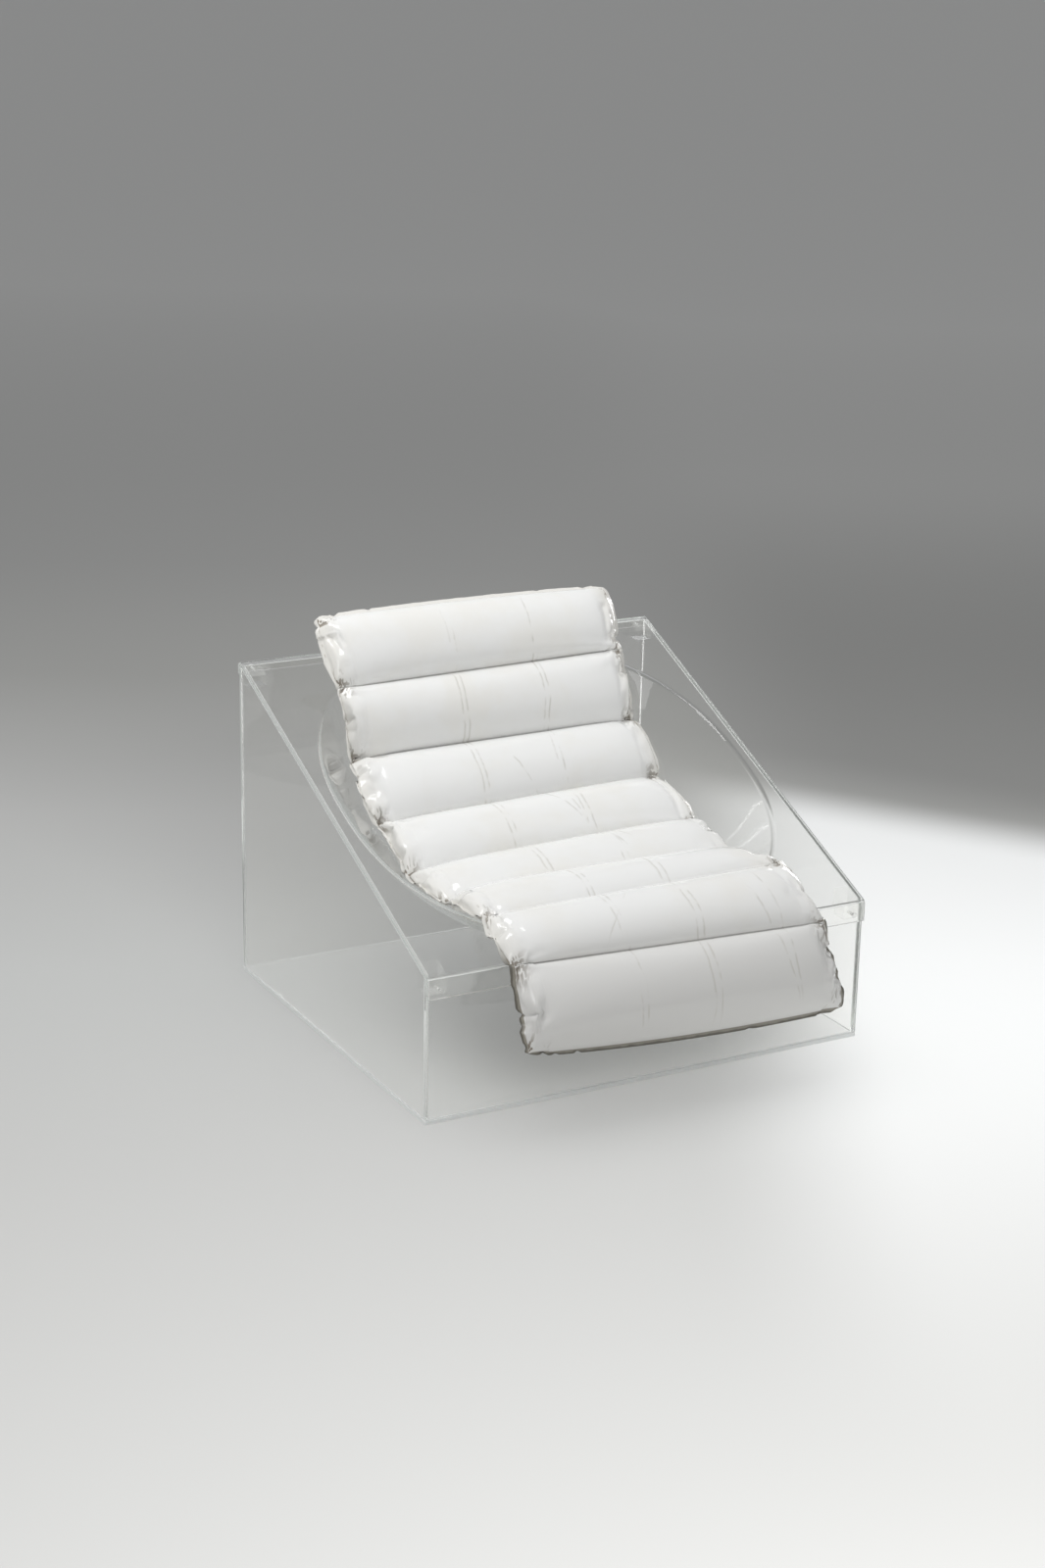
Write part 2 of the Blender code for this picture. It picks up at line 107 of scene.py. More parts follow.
def add_node(tree, kind, inputs=(), output=0, **settings):
    """Adds a node, fills its inputs with values or other nodes' outputs, and gives one of its outputs."""
    node = tree.nodes.new(f"ShaderNode{kind}")
    for name, value in settings.items():
        setattr(node, name, value)
    for socket, value in dict(inputs).items():
        if isinstance(value, bpy.types.NodeSocket):
            tree.links.new(value, node.inputs[socket])
        else:
            node.inputs[socket].default_value = value
    return node.outputs[output] if len(node.outputs) else None


def add_masks(tree, measures, zones):
    """A mask for each zone, where all its bands meet. A band is full at one number and gone at the next."""
    masks = {}
    for zone, bands in zones.items():
        masks[zone] = 1.0
        for measure, full_at, gone_at in bands:
            band = add_node(
                tree, "MapRange", {"Value": measures[measure], "From Min": gone_at, "From Max": full_at},
                interpolation_type="SMOOTHSTEP",
            )
            masks[zone] = add_node(tree, "Math", {0: masks[zone], 1: band}, operation="MULTIPLY")
    return masks


def new_material(name):
    material = bpy.data.materials.new(name)
    material.use_nodes = True
    material.node_tree.nodes.clear()
    return material, material.node_tree


def add_object(name, shape, materials):
    """Makes an object at the origin of a bmesh that is already in place."""
    mesh = bpy.data.meshes.new(name)
    shape.to_mesh(mesh)
    shape.free()
    for material in materials:
        mesh.materials.append(material)
    made = bpy.data.objects.new(name, mesh)
    bpy.context.scene.collection.objects.link(made)
    return made


# Matt floor paint: a diffuse grey with painted light falloff and a painted pool of light right of the chair.
paint, tree = new_material("matt_floor_paint")
place = add_node(tree, "TexCoord", output="Object")
behind = add_node(
    tree, "VectorMath", {0: place, 1: (forward.x, forward.y, 0)}, "Value", operation="DOT_PRODUCT",
)
beside = add_node(tree, "VectorMath", {0: place, 1: level_right}, "Value", operation="DOT_PRODUCT")
slanting = add_node(tree, "Math", {0: beside, 1: floor_slant, 2: behind}, operation="MULTIPLY_ADD")
measures = {"behind": behind, "beside": beside, "slanting": slanting}
masks = add_masks(tree, measures, floor_zones)
# The painted falloff's tones come up to a metre sooner on the far right.
stretch = add_node(tree, "Math", {0: behind, 1: masks["sooner"]}, operation="ADD")
stretch = add_node(
    tree, "MapRange", {"Value": stretch, "From Min": floor_tone_start, "From Max": floor_tone_end},
)
colour = add_node(tree, "ValToRGB", {"Fac": stretch})
stops = colour.node.color_ramp.elements
stops[0].position, stops[0].color = painted_falloff_tones[0][0], linear(painted_falloff_tones[0][1])
stops[1].position, stops[1].color = painted_falloff_tones[-1][0], linear(painted_falloff_tones[-1][1])
for position, tone in painted_falloff_tones[1:-1]:
    stops.new(position).color = linear(tone)
# Over the tones: painted shade far behind on the right, then the painted pool of light on the right.
for zone, tone in (("dusk", floor_painted_shade), ("pool", floor_painted_light_pool)):
    colour = add_node(tree, "MixRGB", {"Fac": masks[zone], "Color1": colour, "Color2": linear(tone)})
surface = add_node(tree, "BsdfPrincipled", {
    "Base Color": colour, "Roughness": floor_roughness, "Specular IOR Level": floor_shine,
})
add_node(tree, "OutputMaterial", {"Surface": surface})

shape = bmesh.new()
bmesh.ops.create_grid(shape, x_segments=1, y_segments=1, size=floor_half_width)
bmesh.ops.translate(shape, vec=(0, 0, -floor_clearance), verts=shape.verts)
floor = add_object("studio_floor", shape, [paint])


# Studio light: an even grey room, and large soft boxes above the chair, behind it and on both sides of it.
# Flags on stands keep each box off the floor, or off all but the floor.
room_tint = "#fcfdff"
room_light = 0.44
room_seen = 0.27
# Each box: its place, what it points at, its width and height, its watts, whether gloss shows it, and
# whether the floor is shaded from it or is all that it lights.
soft_boxes = {
    "overhead": ((-0.1, 0.25, 3.1), (0, 0, 0.3), 3.2, 2.8, 34, False, "EXCLUDE"),
    "strip": ((-0.75, 0.35, 3.0), (-0.1, 0.1, 0.4), 0.6, 1.5, 20, True, "EXCLUDE"),
    "left": ((-1.9, -1.3, 1.9), (0, 0, 0.35), 1.0, 0.85, 7, True, "EXCLUDE"),
    "right": ((2.48, 1.82, 0.5), (0, 0, 0.4), 1.0, 0.95, 26, True, "EXCLUDE"),
    "overhead_floor": ((-0.1, 0.55, 3.1), (0, 0, 0.3), 3.2, 2.8, 28.5, False, "INCLUDE"),
    "front_floor": ((-0.8, -3.6, 1.7), (0, 0, 0), 3.0, 1.6, 172, False, "INCLUDE"),
}

world = bpy.data.worlds.new("studio_room")
bpy.context.scene.world = world
world.use_nodes = True
tree = world.node_tree
tree.nodes.clear()
seen = add_node(tree, "LightPath", output="Is Camera Ray")
strength = add_node(tree, "MapRange", {"Value": seen, "To Min": room_light, "To Max": room_seen})
room = add_node(tree, "Background", {"Color": linear(room_tint), "Strength": strength})
add_node(tree, "OutputWorld", {"Surface": room})

for name, (place, aim, width, height, watts, shows_in_gloss, floor_state) in soft_boxes.items():
    lamp = bpy.data.lights.new(f"{name}_soft_box", "AREA")
    lamp.shape = "RECTANGLE"
    lamp.size = width
    lamp.size_y = height
    lamp.energy = watts
    box = bpy.data.objects.new(lamp.name, lamp)
    bpy.context.scene.collection.objects.link(box)
    box.location = place
    box.rotation_euler = (Vector(aim) - Vector(place)).to_track_quat("-Z", "Y").to_euler()
    box.visible_camera = False
    box.visible_transmission = False
    box.visible_glossy = shows_in_gloss
    flag = bpy.data.collections.new(f"{name}_flag")
    flag.objects.link(floor)
    box.light_linking.receiver_collection = flag
    flag.collection_objects[0].light_linking.link_state = floor_state


# Case: a base plate and four walls of cast acrylic sheet, sawn and glued edge to edge.
# Cast acrylic is clear and almost colourless; its sawn edges scatter light and read as thin pale lines.
# Their arrises are frosted palest, as painted highlights.
case_width = 0.760
case_depth = 0.684
sheet_thickness = 0.0065
arris_width = 0.0013
acrylic_tint = "#fffffe"
sawn_edge_tint = "#f1f3f1"
lamp_light_tint = "#fefefe"
guided_light_tint = "#f6f8f6"
painted_rim_glow_tint = "#b4b8b5"
acrylic_ior = 1.45
guided_after_reflections = 2.5
clear_acrylic = {
    "Base Color": linear(acrylic_tint), "Roughness": 0.0, "IOR": acrylic_ior, "Transmission Weight": 1.0,
}
sawn_roughness = 0.35
# How squarely a surface looks along the same axis as its sheet: at most on an edge, and at least on a face.
most_on_edge = 0.6
least_on_face = 0.95
# How light a sawn edge is between its two arrises. The base plate lies on the floor, seen through its whole
# width, so it bends light less here and has a faint haze.
wall_edge_share = 0.3
side_edge_share = 0.1
base_edge_share = 1.0
base_ior = 1.4
base_haze = 0.12


def finish_acrylic(tree, surface, glows=False):
    """Lets lamp light through. Light a sheet has guided along itself leaves it, or is a painted glow on its
    rim.
    """
    path = add_node(tree, "LightPath").node.outputs
    if glows:
        # A painted glow: an emission for light trapped in the sheet.
        guided = add_node(tree, "Emission", {"Color": linear(painted_rim_glow_tint)})
    else:
        guided = add_node(tree, "BsdfTransparent", {"Color": linear(guided_light_tint)})
    trapped = add_node(
        tree, "Math", {0: path["Glossy Depth"], 1: guided_after_reflections}, operation="GREATER_THAN",
    )
    surface = add_node(tree, "MixShader", {0: trapped, 1: surface, 2: guided})
    clear = add_node(tree, "BsdfTransparent", {"Color": linear(lamp_light_tint)})
    passing = add_node(
        tree, "Math", {0: path["Is Shadow Ray"], 1: path["Is Diffuse Ray"]}, operation="MAXIMUM",
    )
    surface = add_node(tree, "MixShader", {0: passing, 1: surface, 2: clear})
    add_node(tree, "OutputMaterial", {"Surface": surface})


def make_cast_acrylic(name, face_axis, middle, edge_share, ior=acrylic_ior, haze=0.0):
    """Clear sheet that faces along an axis, with its middle this far along it. Painted highlights frost its
    arrises.
    """
    material, tree = new_material(name)
    glass = add_node(tree, "BsdfPrincipled", {**clear_acrylic, "IOR": ior})
    sawn = add_node(tree, "BsdfPrincipled", {
        "Base Color": linear(sawn_edge_tint), "Roughness": sawn_roughness, "IOR": acrylic_ior,
    })
    normal = add_node(tree, "TexCoord", output="Normal")
    facing = add_node(tree, "SeparateXYZ", {0: normal}, face_axis)
    facing = add_node(tree, "Math", {0: facing}, operation="ABSOLUTE")
    edge = add_node(
        tree, "MapRange", {"Value": facing, "From Min": least_on_face, "From Max": most_on_edge},
        interpolation_type="SMOOTHSTEP",
    )
    lightness = edge_share
    if middle is not None:
        place = add_node(tree, "TexCoord", output="Object")
        off_middle = add_node(tree, "SeparateXYZ", {0: place}, face_axis)
        off_middle = add_node(tree, "Math", {0: off_middle}, operation="ABSOLUTE")
        off_middle = add_node(tree, "Math", {0: off_middle, 1: middle}, operation="SUBTRACT")
        off_middle = add_node(tree, "Math", {0: off_middle}, operation="ABSOLUTE")
        # Full frost at the arrises and less between them: painted highlights along the arrises.
        lightness = add_node(tree, "MapRange", {
            "Value": off_middle, "From Min": sheet_thickness / 2 - arris_width,
            "From Max": sheet_thickness / 2 - arris_width / 2, "To Min": edge_share,
        }, interpolation_type="SMOOTHSTEP")
    edge = add_node(tree, "Math", {0: edge, 1: lightness}, operation="MULTIPLY")
    edge = add_node(tree, "Math", {0: edge, 1: haze}, operation="MAXIMUM")
    finish_acrylic(tree, add_node(tree, "MixShader", {0: edge, 1: glass, 2: sawn}))
    return material


def dress(node_name, material):
    for slot in nodes[node_name].material_slots:
        slot.material = material


wall_middle = (case_depth - sheet_thickness) / 2
side_middle = (case_width - sheet_thickness) / 2
wall_acrylic = make_cast_acrylic("cast_acrylic_wall", "Y", wall_middle, wall_edge_share)
side_acrylic = make_cast_acrylic("cast_acrylic_side", "X", side_middle, side_edge_share)
base_acrylic = make_cast_acrylic(
    "cast_acrylic_base", "Z", sheet_thickness / 2, base_edge_share, base_ior, base_haze,
)
dress("front_panel", wall_acrylic)
dress("back_panel", wall_acrylic)
dress("left_side_panel", side_acrylic)
dress("right_side_panel", side_acrylic)
dress("base_plate", base_acrylic)


# Lid: one clear acrylic sheet, heated and drawn down into a round bowl, then bent over the front and back
# wall. Its rim is a soft roll. Its polished cut edges show along both sides and under the flanges.
fit_gap = 0.0003
lid_thickness = 0.005
lid_front_height = 0.230
lid_back_height = 0.536
front_flange_drop = 0.033
back_flange_drop = 0.024
lid_bend_radius = 0.008
bowl_side_margin = 0.019
bowl_front_margin = 0.0125
bowl_back_margin = 0.0245
bowl_depth = 0.190
rim_fillet = 0.011
bowl_squareness = 2.3
rim_support = 0.0015
bowl_half_width = case_width / 2 - bowl_side_margin
lid_depth = case_depth + 2 * (lid_thickness + fit_gap)
lid_front_y = -lid_depth / 2
slope_length = math.hypot(lid_depth, lid_back_height - lid_front_height)
slope_angle = math.atan2(lid_back_height - lid_front_height, lid_depth)
slope_cos = math.cos(slope_angle)
slope_sin = math.sin(slope_angle)
bowl_half_length = (slope_length - bowl_front_margin - bowl_back_margin) / 2
bowl_centre = bowl_front_margin + bowl_half_length
bowl_radius = (bowl_half_width ** 2 + bowl_depth ** 2 - 2 * rim_fillet * bowl_depth) / (2 * bowl_depth)
wall_turn = math.asin(bowl_half_width / (bowl_radius + rim_fillet))
cap_rings = 26
fillet_rings = 10
spokes = 160
bend_steps = 8
merge_distance = 0.00001
least_turn_share = 1e-9
sharp_edge_degrees = 40


def lid_place(across, along, above):
    """A point across the chair, along the slope from the lid's front edge, and above the lid."""
    return Vector((
        across,
        lid_front_y + along * slope_cos - above * slope_sin,
        lid_front_height + along * slope_sin + above * slope_cos,
    ))


def rim_reach(turn):
    across = abs(math.cos(turn)) / bowl_half_width
    along = abs(math.sin(turn)) / bowl_half_length
    return (across ** bowl_squareness + along ** bowl_squareness) ** (-1 / bowl_squareness)


def bowl_depth_at(across, along):
    """Depth of the bowl below the lid's plane at a place on it, and zero outside the rim."""
    side = along - bowl_centre
    share = math.hypot(across, side) / rim_reach(math.atan2(side, across))
    if share >= 1:
        return 0.0
    reach = share * bowl_half_width
    if reach < bowl_radius * math.sin(wall_turn):
        return math.sqrt(bowl_radius ** 2 - reach ** 2) - (bowl_radius - bowl_depth)
    return rim_fillet - math.sqrt(rim_fillet ** 2 - (bowl_half_width - reach) ** 2)


# Drawn acrylic sheet is as clear as the walls, and its rolled rim has a soft painted glow for the light it
# guides. Its cut edges are polished; their upper arris has a painted highlight, a thin pale frosted line.
lid_painted_highlight_width = 0.0018
cut_edge_share = 0.15
cut_roughness = 0.2
cut_clearness = 0.5
sheet_acrylic, tree = new_material("drawn_acrylic_sheet")
finish_acrylic(tree, add_node(tree, "BsdfPrincipled", clear_acrylic), glows=True)
sawn_acrylic, tree = new_material("sawn_acrylic_edge")
clear = add_node(tree, "BsdfPrincipled", clear_acrylic)
sawn = add_node(tree, "BsdfPrincipled", {
    "Base Color": linear(sawn_edge_tint), "Roughness": cut_roughness, "IOR": acrylic_ior,
    "Transmission Weight": cut_clearness,
})
# The upper arris of the cut edges is frosted pale: a painted highlight.
place = add_node(tree, "TexCoord", output="Object")
height = add_node(
    tree, "VectorMath", {0: place, 1: (0, -slope_sin, slope_cos)}, "Value", operation="DOT_PRODUCT",
)
lid_top = lid_front_height * slope_cos - lid_front_y * slope_sin
cut = add_node(tree, "MapRange", {
    "Value": height, "From Min": lid_top - lid_painted_highlight_width, "From Max": lid_top - lid_painted_highlight_width / 2,
    "To Min": cut_edge_share,
}, interpolation_type="SMOOTHSTEP")
finish_acrylic(tree, add_node(tree, "MixShader", {0: cut, 1: clear, 2: sawn}))

shape = bmesh.new()
profile = [shape.verts.new((0, 0, -bowl_depth))]
for step in range(1, cap_rings + 1):
    turn = wall_turn * step / cap_rings
    profile.append(shape.verts.new((
        bowl_radius * math.sin(turn), 0, bowl_radius - bowl_depth - bowl_radius * math.cos(turn),
    )))
for step in range(1, fillet_rings + 1):
    turn = wall_turn * (1 - step / fillet_rings)
    profile.append(shape.verts.new((
        bowl_half_width - rim_fillet * math.sin(turn), 0, rim_fillet * (math.cos(turn) - 1),
    )))
profile.append(shape.verts.new((bowl_half_width + rim_support, 0, 0)))
edges = [shape.edges.new(pair) for pair in zip(profile, profile[1:])]
bmesh.ops.spin(
    shape, geom=profile + edges, cent=(0, 0, 0), axis=(0, 0, 1),
    angle=2 * math.pi, steps=spokes, use_merge=True,
)
bmesh.ops.remove_doubles(shape, verts=shape.verts, dist=merge_distance)

# The flat round the rim: the outermost ring is pulled out to the sheet's straight sides and corners.
front_tangent = lid_bend_radius * math.tan((math.pi / 2 - slope_angle) / 2)
back_tangent = slope_length - lid_bend_radius * math.tan((math.pi / 2 + slope_angle) / 2)
rim_edges = [edge for edge in shape.edges if edge.is_boundary]
outer = bmesh.ops.extrude_edge_only(shape, edges=rim_edges)["geom"]
border = [item for item in outer if isinstance(item, bmesh.types.BMVert)]
border_turns = {vert: math.atan2(vert.co.y, vert.co.x) for vert in border}
half_width = case_width / 2
side_lengths = (back_tangent - bowl_centre, front_tangent - bowl_centre)
for vert in shape.verts:
    turn = math.atan2(vert.co.y, vert.co.x)
    radius = math.hypot(vert.co.x, vert.co.y)
    reach = radius / bowl_half_width * rim_reach(turn)
    vert.co.x = reach * math.cos(turn)
    vert.co.y = reach * math.sin(turn)
for vert, turn in border_turns.items():
    length = side_lengths[0] if turn > 0 else side_lengths[1]
    to_side = half_width / max(abs(math.cos(turn)), least_turn_share)
    to_end = abs(length) / max(abs(math.sin(turn)), least_turn_share)
    reach = min(to_side, to_end)
    vert.co = (reach * math.cos(turn), reach * math.sin(turn), 0)
for corner_x in (-half_width, half_width):
    for corner_y in side_lengths:
        corner = Vector((corner_x, corner_y, 0))
        nearest = min(border, key=lambda vert: (vert.co - corner).length)
        nearest.co = corner
for vert in shape.verts:
    vert.co = lid_place(vert.co.x, bowl_centre + vert.co.y, vert.co.z)


def fold_flange(shape, tangent_along, end_turn, foot_place):
    """Bends the sheet's straight end round to a flange, step by step."""
    on_line = {
        vert for vert in shape.verts
        if (vert.co - lid_place(vert.co.x, tangent_along, 0)).length < merge_distance
    }
    line = [edge for edge in shape.edges if edge.is_boundary and set(edge.verts) <= on_line]
    for step in range(bend_steps + 2):
        out = bmesh.ops.extrude_edge_only(shape, edges=line)["geom"]
        line = [item for item in out if isinstance(item, bmesh.types.BMEdge)]
        moved = [item for item in out if isinstance(item, bmesh.types.BMVert)]
        if step == bend_steps:
            for vert in moved:
                vert.co.z -= rim_support
        elif step > bend_steps:
            for vert in moved:
                vert.co.z = foot_place
        else:
            off_slope = (end_turn - slope_angle) * (step + 1) / bend_steps
            along = tangent_along - lid_bend_radius * math.sin(off_slope)
            above = lid_bend_radius * (math.cos(off_slope) - 1)
            for vert in moved:
                vert.co = lid_place(vert.co.x, along, above)
        line = [
            edge for edge in line
            if edge.is_boundary and abs(edge.verts[0].co.x - edge.verts[1].co.x) > merge_distance
        ]


fold_flange(shape, front_tangent, math.pi / 2, lid_front_height - front_flange_drop)
fold_flange(shape, back_tangent, -math.pi / 2, lid_back_height - back_flange_drop)
bmesh.ops.recalc_face_normals(shape, faces=shape.faces)
lid = add_object("drawn_lid", shape, [sheet_acrylic, sawn_acrylic])
if lid.data.polygons[0].normal.z < 0:
    lid.data.flip_normals()
wall = lid.modifiers.new("sheet_thickness", "SOLIDIFY")
wall.thickness = lid_thickness
wall.offset = -1
wall.use_even_offset = True
wall.material_offset_rim = 1
solid_lid = bpy.data.meshes.new_from_object(lid.evaluated_get(bpy.context.evaluated_depsgraph_get()))
lid.modifiers.clear()
lid.data = solid_lid
lid.data.shade_smooth()
lid.data.set_sharp_from_angle(angle=math.radians(sharp_edge_degrees))
even = lid.modifiers.new("flat_faces_stay_flat", "WEIGHTED_NORMAL")
even.keep_sharp = True
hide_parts("seat_shell")
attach(lid, "case")


# Corner blocks and screws: polished acrylic blocks glued into the case's top corners, and natural nylon
# pan-head screws that go through each flange and wall into them. A block hardly bends the light behind it.
block_edge_share = 0.1
block_ior = 1.03
nylon_colour = "#f2f2ee"
nylon_roughness = 0.4
nylon_ior = 1.53
nylon_clear_share = 0.85
block_acrylic = make_cast_acrylic("polished_acrylic_block", "Y", None, block_edge_share, block_ior)

# Natural nylon: moulded and milky, and so thin at the heads that most light passes through.
nylon, tree = new_material("natural_nylon")
body = add_node(tree, "BsdfPrincipled", {
    "Base Color": linear(nylon_colour), "Roughness": nylon_roughness, "IOR": nylon_ior,
})
clear = add_node(tree, "BsdfTransparent")
milky = add_node(tree, "MixShader", {0: nylon_clear_share, 1: body, 2: clear})
add_node(tree, "OutputMaterial", {"Surface": milky})
for end in ("front", "back"):
    for side in ("left", "right"):
        dress(f"corner_block_{end}_{side}", block_acrylic)
        dress(f"lid_screw_{end}_{side}", nylon)


# Cushion: two sheets of white plasticised PVC, welded together round eight foam-filled channels.
# The welds pull the sides in, the ends of the channels pucker, and a thin welded margin runs all round.
cushion_width = 0.546
channel_length = 0.115
seam_draw = 0.008
channel_side_bulge = 0.006
# How far the sheets swell above and below their welds, and the powers that round this off down a channel,
# across it and as a whole.
channel_crown = 0.030
underside_crown = 0.026
crown_power = 2.1
side_power = 7
roundness = 0.66
weld_margin = 0.0055
end_margin = 0.0065
left_corner_rounding = 0.011
right_corner_rounding = 0.020
sheet_half_thickness = 0.0007
bowl_clearance = 0.0015
lid_clearance = 0.0006
seam_parting = 0.0001
# Weld lines, from the head's edge to the flap's. Each has a place along the slope as a share of its length,
# a height above the lid as a share of the bowl's depth (None rests on the lid), and the shares by which it
# runs back and rises towards the right.
seam_along_shares = (0.978, 0.831, 0.7145, 0.562, 0.400, 0.2466, 0.1054, -0.0536, -0.1863)
seam_height_shares = (0.446, 0.142, -0.274, -0.455, -0.4226, -0.2216, None, None, -0.322)
seam_back_shares = (0.0, 0.013, -0.022, 0.0, -0.007, -0.013, 0.0, -0.05, -0.02)
seam_rise_shares = (0.0, 0.015, 0.015, 0.022, 0.033, 0.0, 0.012, -0.015, -0.036)
head_bow = 0.004
flap_bow = 0.009
# Nicks where the welded margin has puckered: side (-1 left, 1 right), place down in channels, and depth.
side_nicks = (
    (-1, 0.16, 0.005), (-1, 1.47, 0.006), (-1, 2.3, 0.003), (-1, 2.62, 0.003), (-1, 3.3, 0.003),
    (-1, 3.7, 0.0025), (-1, 4.4, 0.003), (-1, 5.4, 0.003), (-1, 6.45, 0.003), (-1, 7.52, 0.005),
    (-1, 7.9, 0.004), (1, 0.8, 0.003), (1, 1.35, 0.0025), (1, 4.5, 0.003), (1, 6.6, 0.004),
    (1, 7.3, 0.004), (1, 7.62, 0.0025),
)
# The same in the head's top edge (0) and the flap's bottom edge (8): seam, place across as a share, depth.
end_nicks = (
    (0, -0.90, 0.004), (0, -0.66, 0.003), (0, 0.55, 0.002), (8, -0.93, 0.004), (8, -0.86, 0.003),
    (8, -0.72, 0.004), (8, 0.4, 0.002),
)
nick_half_length = 0.007
nick_start_share = 0.9
last_seam = 8
wander_start_share = 0.84
wander_reach = 0.011
wander_waves = 22
wander_seam_step = 3.1
wander_origin = Vector((0.5, 0, 0.3))


def seam_half_width(seam):
    return cushion_width / 2 - (0 if seam in (0, last_seam) else seam_draw)


def seam_place(seam, share):
    """A point on a weld line, at a share of its half width to the right of the middle."""
    height_share = seam_height_shares[seam]
    above = underside_crown + lid_clearance if height_share is None else height_share * bowl_depth
    point = lid_place(0, seam_along_shares[seam] * slope_length, above)
    askew = share * cushion_width / 2
    point += Vector((0, seam_back_shares[seam] * askew, seam_rise_shares[seam] * askew))
    bow = 1 - min(1.0, share * share)
    if seam == 0:
        point.z += head_bow * bow
    elif seam == last_seam:
        point.z -= flap_bow * bow
    if seam in (0, last_seam) or abs(share) < wander_start_share:
        return point
    return point + lid_place(0, seam_wander(seam, share), 0) - lid_place(0, 0, 0)


def seam_wander(seam, share):
    """How far a weld line strays along the cushion close to its two ends, where the sheets bunch up."""
    at_end = min(1.0, max(0.0, (abs(share) - wander_start_share) / (1 - wander_start_share)))
    waves = Vector((wander_seam_step * seam, wander_waves * share, 0)) + wander_origin
    return wander_reach * at_end * noise.noise(waves)


def channel_facing(channel):
    run = seam_place(channel - 1, 0) - seam_place(channel, 0)
    return Vector((0, -run.z, run.y)).normalized()


def lift_off_lid(point, clearance):
    """Keeps a point of the soft underside just clear of the lid and its bowl."""
    back = point.y - lid_front_y
    up = point.z - lid_front_height
    along = back * slope_cos + up * slope_sin
    above = up * slope_cos - back * slope_sin
    depth = bowl_depth_at(point.x, along)
    floor_above = fit_gap + bowl_clearance * min(1.0, depth / rim_fillet) + clearance - depth
    if along < 0 or above >= floor_above:
        return point
    return lid_place(point.x, along, floor_above)


def part_at_seams(channel, point):
    """Keeps a channel on its own side of its two weld lines, where it presses against the next one."""
    share = max(-1.0, min(1.0, 2 * point.x / cushion_width))
    for seam, side in ((channel - 1, -1), (channel, 1)):
        if seam in (0, last_seam):
            continue
        bisector = (channel_facing(seam) + channel_facing(seam + 1)).normalized()
        along = Vector((0, bisector.z, -bisector.y)) * side
        if along.dot(seam_place(channel - 1, 0) - seam_place(channel, 0)) * side > 0:
            along = -along
        past = (point - seam_place(seam, share)).dot(along) + seam_parting
        if past > 0:
            point = point - along * past
    return point


def nick_at(nicks, key, place, length):
    """How far a margin is pulled in at a place along it: a V at each of its nicks."""
    depths = [
        depth * max(0.0, 1 - abs(place - middle) * length / nick_half_length)
        for side, middle, depth in nicks if side == key
    ]
    return max(depths, default=0.0)


def pad_place(channel, t, e, margin_side, end_side):
    """A point midway between the sheets: t runs down the channel and e across it, each from -1 to 1."""
    down = (t + 1) / 2
    half = seam_half_width(channel - 1) * (1 - down) + seam_half_width(channel) * down
    half += channel_side_bulge * (1 - t * t)
    length = (seam_place(channel - 1, 0) - seam_place(channel, 0)).length
    top_inset = end_margin / length if channel == 1 else 0
    foot_inset = end_margin / length if channel == last_seam else 0
    down = top_inset + down * (1 - top_inset - foot_inset)
    if end_side:
        down = 0 if end_side < 0 else 1
    rounding = left_corner_rounding if e < 0 else right_corner_rounding
    for is_end, to_end in ((channel == 1, down * length), (channel == last_seam, (1 - down) * length)):
        if is_end and to_end < rounding:
            half -= rounding - math.sqrt(rounding ** 2 - (rounding - to_end) ** 2)
    if abs(e) > nick_start_share:
        pulled = nick_at(side_nicks, -1 if e < 0 else 1, channel - 1 + down, channel_length)
        half -= pulled if margin_side else pulled / 2
    across = e * (half - weld_margin) + margin_side * weld_margin
    share = across / half
    if end_side:
        pulled = nick_at(end_nicks, 0 if end_side < 0 else last_seam, share, cushion_width / 2)
        down -= end_side * pulled / length
    middle = seam_place(channel - 1, share) * (1 - down) + seam_place(channel, share) * down
    middle.x = across
    return lift_off_lid(middle, sheet_half_thickness + bowl_clearance)


rows_per_channel = 26
columns = 150
row_crowding = 0.4
column_crowding = 0.3
edge_wave = 0.0017
edge_wave_length = 0.016
# Places on a channel, as shares of its half length or half width. Beyond at_edge a point lies on a weld
# line, which is held still up to held_reach. The sheet has slack from slack_start on, less in the corners.
at_edge = 0.999
held_reach = 0.88
slack_start = 0.86
slack_run = 0.10
outer_corner_slack = 0.25
head_corner_end = -0.4
flap_corner_start = 0.5
margin_end_share = 0.01


